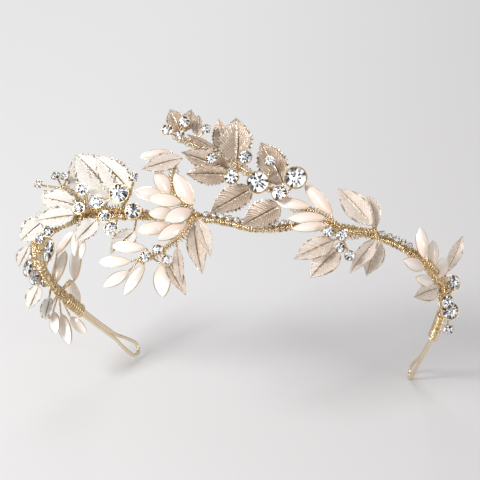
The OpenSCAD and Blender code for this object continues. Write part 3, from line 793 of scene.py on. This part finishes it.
def modelLeaf(s, name):
    leaf = startBlade(s, name)
    # fold each column down toward the midrib
    for k in range(s["columns"] // 2):
        x = k / s["columns"]
        pickVerts(leaf, lambda co: abs(abs(co.x) - x) < 1e-4)
        bpy.ops.transform.translate(value=(0, 0, -s["fold"] * (1 - 2 * x)))
    # narrow each row to the outline and lift it to the bow
    for k in range(s["rows"] + 1):
        y = k / s["rows"]
        half = leafHalf(s, y) * s["wide"]
        pickVerts(leaf, lambda co: abs(co.y - y) < 1e-4)
        bpy.ops.transform.resize(value=(half, 1, half), center_override=(0, y, 0))
        bpy.ops.transform.translate(value=(0, 0, s["bow"] * math.sin(math.pi * y)))
        # the teeth: every other row swells at the rim and the next draws in
        if 2 < k < s["rows"] - 1:
            pickVerts(leaf, lambda co: abs(co.y - y) < 1e-4 and abs(abs(co.x) - half / 2) < 1e-3)
            swell = 1 + s["teeth"] * (1 if k % 2 else -s["notch"])
            bpy.ops.transform.resize(value=(swell, 1, 1), center_override=(0, y, 0))
    closeEdit()
    useModifier(leaf, "SOLIDIFY", thickness=s["thickness"], offset=-1)
    smoothShade(leaf, 50)
    return leaf


toothedMaster, plainMaster = modelLeaf(leafSet, "toothedMaster"), modelLeaf(plainLeafSet, "plainMaster")
for name, spray in sprays.items():
    master = plainMaster if spray["finish"] == "pale_leaf" else toothedMaster
    group = joinAll([placedCopy(master, bladeMatrix(p)) for p in spray["leaves"]], name + "Leaves")
    handIn(group, "band", spray["finish"], spray["leaf"], name + "_leaves")
putAway(toothedMaster, plainMaster)
print("leaves made")


# ---- petals and their backs ----

petalSet = {"columns": 10, "rows": 18, "crown": 0.075, "bow": 0.045, "thickness": 0.02, "share": 0.95,
            "pointed": 0.62, "keel": 1.5, "least": 0.04, "thinEnd": 0.1}
backSet = {**petalSet, "columns": 6, "crown": 0.0, "thickness": 0.035, "share": 1.06, "pointed": 0.6,
           "drop": 0.008}


def modelPetal(s, name):
    petal = startBlade(s, name)
    # raise each column to the crown
    for k in range(s["columns"] // 2):
        x = k / s["columns"]
        pickVerts(petal, lambda co: abs(abs(co.x) - x) < 1e-4)
        bpy.ops.transform.translate(value=(0, 0, s["crown"] * (1 - (2 * x) ** s["keel"])))
    # narrow each row to a point at both ends and lift it to the bow
    for k in range(s["rows"] + 1):
        y = k / s["rows"]
        swell = max(s["least"], math.sin(math.pi * y) ** s["pointed"]) if 0 < y < 1 else s["least"]
        pickVerts(petal, lambda co: abs(co.y - y) < 1e-4)
        bpy.ops.transform.resize(value=(swell * s["share"], 1, max(swell, s["thinEnd"])),
                                 center_override=(0, y, 0))
        bpy.ops.transform.translate(value=(0, 0, s["bow"] * math.sin(math.pi * y)))
    closeEdit()
    useModifier(petal, "SOLIDIFY", thickness=s["thickness"], offset=-1)
    smoothShade(petal, 60)
    return petal


petalMaster, backMaster = modelPetal(petalSet, "petalMaster"), modelPetal(backSet, "backMaster")
for name, spray in sprays.items():
    if not spray["petals"]:
        continue
    group = joinAll([placedCopy(petalMaster, bladeMatrix(p)) for p in spray["petals"]], name + "Petals")
    handIn(group, "band", spray["petal"], spray["petal"], name + "_petals")
    backs = [placedCopy(backMaster, bladeMatrix(p, -backSet["drop"] * p["length"]))
             for p in spray["petals"]]
    handIn(joinAll(backs, name + "PetalBacks"), "band", "gold_back", "gold_back", name + "_petal_backs")
putAway(petalMaster, backMaster)
print("petals made")


# ---- stones and settings ----

stoneSet = {"sides": 16, "girdle": 0.04, "crown": 0.12, "table": 0.58, "inner": 0.30, "tableRise": 0.02,
            "back": 0.46, "culet": 0.06, "sparkle": 0.85}


def modelStone(s):
    # the girdle, the crown and the table, each ring turned half a facet from the last
    halfFacet = math.pi / s["sides"]
    rings = ((1.0, s["girdle"]), (s["table"], s["crown"]), (s["inner"] / s["table"], s["tableRise"]))
    bpy.ops.mesh.primitive_circle_add(vertices=s["sides"], radius=0.5, fill_type="NGON",
                                      location=(0, 0, 0))
    stone = bpy.context.active_object
    stone.name = "stoneMaster"
    openEdit(stone, "FACE")
    bpy.ops.mesh.select_all(action="SELECT")
    rise = 0.0
    for share, lift in rings:
        bpy.ops.mesh.extrude_region_move(TRANSFORM_OT_translate={"value": (0, 0, lift)})
        rise += lift
        if share < 1:
            bpy.ops.transform.resize(value=(share, share, 1), center_override=(0, 0, rise))
            bpy.ops.transform.rotate(value=halfFacet, orient_axis="Z", center_override=(0, 0, rise))
    bpy.ops.mesh.poke()
    closeEdit()
    # the point behind: a cone of the same sides
    bpy.ops.mesh.primitive_cone_add(vertices=s["sides"], radius1=0.5, radius2=s["culet"] / 2,
                                    depth=s["back"], end_fill_type="NOTHING", location=(0, 0, 0))
    cone = bpy.context.active_object
    openEdit(cone)
    bpy.ops.mesh.select_all(action="SELECT")
    bpy.ops.transform.rotate(value=math.pi, orient_axis="X", center_override=(0, 0, 0))
    bpy.ops.transform.translate(value=(0, 0, -s["back"] / 2))
    closeEdit()
    stone = joinAll([stone, cone], "stoneMaster")
    openEdit(stone)
    bpy.ops.mesh.select_all(action="SELECT")
    bpy.ops.mesh.remove_doubles(threshold=0.001)
    bpy.ops.mesh.quads_convert_to_tris()
    bpy.ops.mesh.normals_make_consistent(inside=False)
    closeEdit()
    pickOnly(stone)
    bpy.ops.object.shade_flat()
    return stone


def addGlints(stone, rng):
    # a painted share of reflected light for each facet, drawn in the order of the facets' places, for the
    # cut glass look
    glint = stone.data.attributes.new("glint", "FLOAT", "FACE")
    facets = sorted(stone.data.polygons, key=lambda f: tuple(round(c * 1e6) for c in f.center))
    for facet in facets:
        glint.data[facet.index].value = rng.random() ** stoneSet["sparkle"]


cupSet = {"sides": 16, "foot": 0.3, "depth": 0.46, "wall": 0.045, "sink": 0.02, "rim": 0.028,
          "rimSides": 6}


def modelCup(s):
    top = 0.5 + s["wall"]
    bpy.ops.mesh.primitive_cone_add(vertices=s["sides"], radius1=s["foot"], radius2=top,
                                    depth=s["depth"], end_fill_type="NOTHING", location=(0, 0, 0))
    cup = bpy.context.active_object
    openEdit(cup)
    bpy.ops.mesh.select_all(action="SELECT")
    bpy.ops.transform.translate(value=(0, 0, -s["depth"] / 2 - s["sink"]))
    closeEdit()
    useModifier(cup, "SOLIDIFY", thickness=s["wall"], offset=-1)
    bpy.ops.mesh.primitive_torus_add(major_segments=s["sides"], minor_segments=s["rimSides"],
                                     major_radius=top, minor_radius=s["rim"], location=(0, 0, 0))
    cup = joinAll([cup, bpy.context.active_object], "cupMaster")
    openEdit(cup)
    bpy.ops.mesh.select_all(action="SELECT")
    bpy.ops.mesh.normals_make_consistent(inside=False)
    closeEdit()
    smoothShade(cup, 50)
    return cup


clawSet = {"count": 4, "sides": 8, "rings": 6, "neck": -0.2, "tail": (0.25, 0, -1.4),
           "out": 0.2, "up": 0.55, "width": 0.55, "chainWidth": 0.45}


def modelClaw(s):
    # a bead whose lower end is drawn out into the claw
    bpy.ops.mesh.primitive_uv_sphere_add(segments=s["sides"], ring_count=s["rings"], radius=0.5,
                                         location=(0, 0, 0))
    claw = bpy.context.active_object
    claw.name = "clawMaster"
    openEdit(claw)
    pickVerts(claw, lambda co: co.z < s["neck"])
    bpy.ops.transform.translate(value=s["tail"])
    closeEdit()
    smoothShade(claw, 60)
    return claw


stoneMaster, cupMaster, clawMaster = modelStone(stoneSet), modelCup(cupSet), modelClaw(clawSet)
stoneSeeds = itertools.count(1)


def clawsOf(p, s, wide):
    # the claws of one stone, leaning in over its girdle
    claws = []
    for k in range(s["count"]):
        angle = math.pi / 4 + k * 2 * math.pi / s["count"]
        across = p["wide"] * math.cos(angle) * p["width"] + p["long"] * math.sin(angle) * p["length"]
        outward = across.normalized()
        spot = p["centre"] + across * 0.5 + outward * wide * s["out"] + p["axis"] * wide * s["up"]
        columns = (outward * wide, p["axis"].cross(outward) * wide, p["axis"] * wide)
        claws.append(placedCopy(clawMaster, placeFrom(columns, spot)))
    return claws


def setStones(name, places, clawWide):
    cut, gold = [], []
    for p in places:
        seed = next(stoneSeeds)
        stone = placedCopy(stoneMaster, stoneMatrix(p, random.Random(seed).uniform(0, 1)))
        addGlints(stone, random.Random(seed))
        cut.append(stone)
        gold.append(placedCopy(cupMaster, stoneMatrix(p)))
        gold += clawsOf(p, clawSet, clawWide * mm)
    handIn(joinAll(cut, name + "Stones"), "band", "crystal", "crystal", name + "_stones")
    handIn(joinAll(gold, name + "Settings"), "band", "gold_setting", "gold_setting", name + "_settings")


for name, spray in sprays.items():
    if spray["stones"]:
        setStones(name, spray["stones"], clawSet["width"])
setStones("chain", chainStones, clawSet["chainWidth"])
putAway(stoneMaster, cupMaster, clawMaster)
print("stones set")


# ---- stems and twigs ----

# the outs are shares of the wire that a coil is wound round; the rest are millimetres
stemSet = {"core": 0.7, "wrap": 0.34, "wrapOut": 0.62, "pitch": 0.62, "waver": 0.12, "perTurn": 9,
           "twig": 0.6, "sag": 0.06, "footGap": 0.5, "twigWrap": 0.28, "twigWrapOut": 0.55,
           "twigPitch": 0.7, "twigWaver": 0.2, "bareTwig": 2,
           "tangle": 1.45, "tanglePitch": 1.15, "tangleWire": 0.4, "tangleWaver": 0.35}


def wrapped(line, s, radius, pitch, waver, seed):
    # a coil round a stem or twig
    return coilRound(line, [bandUp] * len(line), radius * mm, radius * mm, pitch * mm, s["perTurn"],
                     waver, seed)


def stemsOf(name, spray, s):
    hubs = spray["hubs"]
    line = smoothLine(hubs, 6)
    feet = [p["base"] for p in spray["leaves"] + spray["petals"]]
    feet += [p["foot"] - p["axis"] * s["footGap"] * mm for p in spray["stones"]]
    twigs, coils = [], []
    for foot in feet:
        hub = min(hubs, key=lambda h: (h - foot).length)
        gap = foot - hub
        if gap.length > 1e-4:
            bend = hub.lerp(foot, 0.5) - frontWay * gap.length * s["sag"]
            twigs.append(smoothLine([hub, bend, foot], 5))
        if gap.length > s["bareTwig"] * mm:
            coils.append(wrapped(twigs[-1], s, s["twig"] * s["twigWrapOut"], s["twigPitch"],
                                 s["twigWaver"], len(coils)))
    wrap = wrapped(line, s, s["core"] * s["wrapOut"], s["pitch"], s["waver"], len(name))
    tangle = wrapped(line, s, s["tangle"], s["tanglePitch"], s["tangleWaver"], 4)
    parts = [wires("core", [line], s["core"] * mm, 1), wires("wrap", [wrap], s["wrap"] * mm, 0),
             wires("tangle", [tangle], s["tangleWire"] * mm, 0),
             wires("twigs", twigs, s["twig"] * mm, 1), wires("coils", coils, s["twigWrap"] * mm, 0)]
    return joinAll(parts, name + "Stem")


for name, spray in sprays.items():
    handIn(stemsOf(name, spray, stemSet), "band", "gold_stem", "gold_stem", name + "_stem")
print("stems made")


# ---- band ----

windingSet = {"core": 1.2, "apart": 0.85, "tuck": 5, "halfOut": 0.98, "halfUp": 1.83, "wire": 0.55,
              "pitch": 0.95, "perTurn": 14, "waver": 0.14,
              "crossOver": 0.25, "crossPitch": 2.1, "crossWire": 0.42}


def coreWires(s):
    # two wires side by side, their ends tucked into the bindings
    reach = bandEnd - s["tuck"]
    lines = [wireLine(-reach, reach, side * s["apart"]) for side in (-1, 1)]
    return wires("bandWires", lines, s["core"] * mm, 2)


def windingOf(s):
    # one close coil, and a thinner one that crosses it
    line = wireLine(-bandEnd + bandSet["leftBinding"], bandEnd - bandSet["rightBinding"])
    ups = [bandUp] * len(line)
    close = coilRound(line, ups, s["halfOut"] * mm, s["halfUp"] * mm, s["pitch"] * mm, s["perTurn"],
                      s["waver"], seed=5)
    cross = coilRound(line, ups, (s["halfOut"] + s["crossOver"]) * mm, (s["halfUp"] + s["crossOver"]) * mm,
                      s["crossPitch"] * mm, s["perTurn"], s["waver"], seed=8, hand=-1)
    return joinAll([wires("close", [close], s["wire"] * mm, 0),
                    wires("cross", [cross], s["crossWire"] * mm, 0)], "bandWinding")


handIn(coreWires(windingSet), "band", "gold_wire", "gold_wire", "band_wires")
handIn(windingOf(windingSet), "band", "gold_wire", "gold_wire", "band_winding")

bindingSet = {"halfOut": 1.62, "halfUp": 2.42, "wire": 0.8, "pitch": 1.35, "perTurn": 20, "waver": 0.02,
              "overhang": 0.8}


def bindingOf(name, start, end, s):
    line = wireLine(start, end, step=1.0)
    coil = coilRound(line, [bandUp] * len(line), s["halfOut"] * mm, s["halfUp"] * mm, s["pitch"] * mm,
                     s["perTurn"], s["waver"], seed=3)
    return wires(name, [coil], s["wire"] * mm, 1)


bindingEnd = bandEnd + bindingSet["overhang"]
leftBinding = bindingOf("leftEndBinding", -bindingEnd, -bandEnd + bandSet["leftBinding"], bindingSet)
rightBinding = bindingOf("rightEndBinding", bandEnd - bandSet["rightBinding"], bindingEnd, bindingSet)
handIn(leftBinding, "band", "binding_wire", "gold_wire", "left_end_binding")
handIn(rightBinding, "band", "gold_wire", "gold_wire", "right_end_binding")
print("band made")


# ---- hairpins ----

hairpinSet = {"wire": 1.4, "apart": 0.92, "loopWide": 5.5, "loopLong": 15, "seat": 1.2,
              "shoulder": ((0.35, 0.45), (0.7, 0.85))}  # shares of the loop's length and half width


def hairpinOf(name, side, s):
    # one leg from the binding to the tip of the loop, and back along the other
    r = s["loopWide"] / 2
    neck, centre = halfBand - s["loopLong"], halfBand - r - s["wire"] / 2
    start = bandEnd - s["seat"]
    half = [(start + (neck - start) * k / 6, s["apart"]) for k in range(7)]
    half += [(neck + (centre - neck) * t, s["apart"] + (r - s["apart"]) * w) for t, w in s["shoulder"]]
    half += [(centre + r * math.sin(k * math.pi / 8), r * math.cos(k * math.pi / 8)) for k in range(4)]
    outline = half + [(centre + r, 0)] + [(a, -b) for a, b in reversed(half)]
    line = smoothLine([bandPoint(side * a, b) for a, b in outline], 6)
    return wires(name, [line], s["wire"] * mm, 3)


for sideName, side in (("left", -1), ("right", 1)):
    handIn(hairpinOf(sideName + "Hairpin", side, hairpinSet), sideName + "_arm", "champagne_wire",
           "champagne_wire", sideName + "_hairpin")
print("hairpins made")


# ---- floor and light ----

# the floor's left and right colours paint light falling from the left
floorSet = {"size": 6, "back": 1, "gap": 0.1, "fade": 0.16, "left": (0.82, 0.815, 0.82, 1),
            "right": (0.68, 0.67, 0.68, 1)}


def makeFloor(s):
    bpy.ops.mesh.primitive_plane_add(size=s["size"], location=(0, s["back"], restLow.z - s["gap"] * mm))
    floor = bpy.context.active_object
    floor.name = "floor"
    made = bpy.data.materials.new("floorPaper")
    made.use_nodes = True
    tree = made.node_tree
    shader = tree.nodes["Principled BSDF"]
    coords = node(tree, "ShaderNodeTexCoord", (-900, 0))
    # painted light and shade: paler to the left and deeper to the right, as if lit from the left
    split = node(tree, "ShaderNodeSeparateXYZ", (-700, 0))
    tree.links.new(coords.outputs["Object"], split.inputs["Vector"])
    fade = step(tree, (-500, 0), split.outputs["X"], -s["fade"], s["fade"])
    tree.links.new(mixColour(tree, (-300, 0), fade, s["left"], s["right"]), shader.inputs["Base Color"])
    shader.inputs["Roughness"].default_value = 0.9
    shader.inputs["Specular IOR Level"].default_value = 0.1
    floor.data.materials.append(made)


makeFloor(floorSet)

lightSet = {"world": 0.46, "tint": (1.0, 0.99, 0.98, 1),
            "lamps": [{"name": "keyLamp", "place": (-0.8, -1.1, 1.0), "size": 0.45, "power": 19},
                      {"name": "fillLamp", "place": (1.3, -0.9, 0.5), "size": 0.5, "power": 5},
                      {"name": "backLamp", "place": (-0.3, 1.0, 1.1), "size": 0.7, "power": 5}]}


def makeLights(s):
    world = bpy.data.worlds.new("studio")
    bpy.context.scene.world = world
    world.use_nodes = True
    ground = world.node_tree.nodes["Background"]
    ground.inputs["Color"].default_value = s["tint"]
    ground.inputs["Strength"].default_value = s["world"]
    for lamp in s["lamps"]:
        data = bpy.data.lights.new(lamp["name"], "AREA")
        data.size = lamp["size"]
        data.energy = lamp["power"]
        obj = bpy.data.objects.new(lamp["name"], data)
        bpy.context.scene.collection.objects.link(obj)
        obj.location = lamp["place"]
        obj.rotation_euler = (Vector((0, 0, 0)) - obj.location).to_track_quat("-Z", "Y").to_euler()


makeLights(lightSet)
print("floor and lights made")
